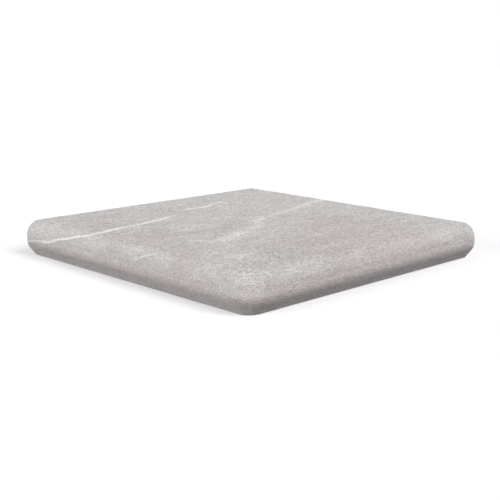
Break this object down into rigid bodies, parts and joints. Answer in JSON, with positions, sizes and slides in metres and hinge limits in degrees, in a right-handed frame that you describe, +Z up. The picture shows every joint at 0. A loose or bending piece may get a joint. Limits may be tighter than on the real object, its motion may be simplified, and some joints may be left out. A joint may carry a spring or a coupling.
{
  "type": "corner stair tread tile",
  "caption": "Square stair tread tile for an outer corner, with a rounded nose and a lip along two adjoining sides and a keyed recess underneath for the mortar bed.",
  "frame": {"origin": "centre of the square footprint, at the level of the foot that the tile stands on", "axes": "+Z up through the tread. The two nosed sides face -Y and +X and meet at the outer corner (+X, -Y). The two cut sides face -X and +Y."},
  "size_m": [0.33, 0.33, 0.0375],
  "materials": {
    "stone_look_porcelain": "matte pale grey stone look with fine grain and thin white veins"
  },
  "bodies": {
    "root": {"corner_tread_tile": "stone_look_porcelain"}
  },
  "joints": []
}
